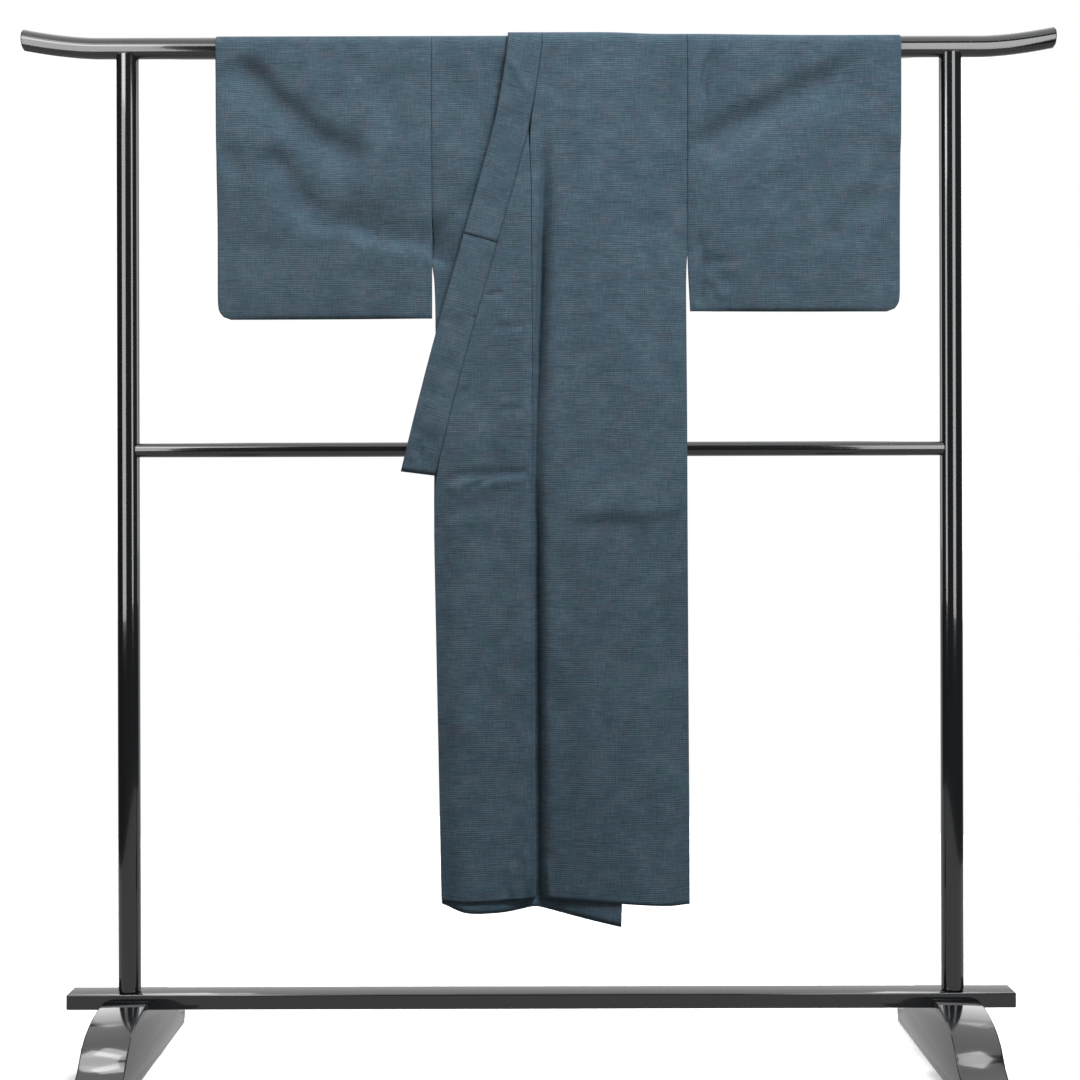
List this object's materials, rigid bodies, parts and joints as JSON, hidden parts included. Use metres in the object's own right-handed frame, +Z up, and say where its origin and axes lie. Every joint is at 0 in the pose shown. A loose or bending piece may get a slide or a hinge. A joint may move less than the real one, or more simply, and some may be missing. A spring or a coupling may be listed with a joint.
{
  "type": "tsumugi kimono on kimono rack",
  "caption": "Blue-grey checked tsumugi kimono, closed left over right, hung by its sleeves from the top bar of a black lacquered kimono rack.",
  "frame": {"origin": "on the floor, midway between the rack's two feet", "axes": "+Z up, +X towards the wearer's left along the top bar, +Y away from the viewer, through the closed front"},
  "size_m": [1.64, 0.45, 1.651],
  "materials": {
    "tsumugi": "matte slubbed silk with a fine darker and lighter check",
    "lacquer": "black gloss lacquer"
  },
  "bodies": {
    "root": {"left_front": "tsumugi", "right_front": "tsumugi", "left_back": "tsumugi", "right_back": "tsumugi", "left_overlap": "tsumugi", "right_overlap": "tsumugi", "collar": "tsumugi", "over_collar": "tsumugi", "left_sleeve": "tsumugi", "right_sleeve": "tsumugi", "top_bar": "lacquer", "left_post": "lacquer", "right_post": "lacquer", "middle_rail": "lacquer", "lower_beam": "lacquer", "left_foot": "lacquer", "right_foot": "lacquer"}
  },
  "joints": []
}
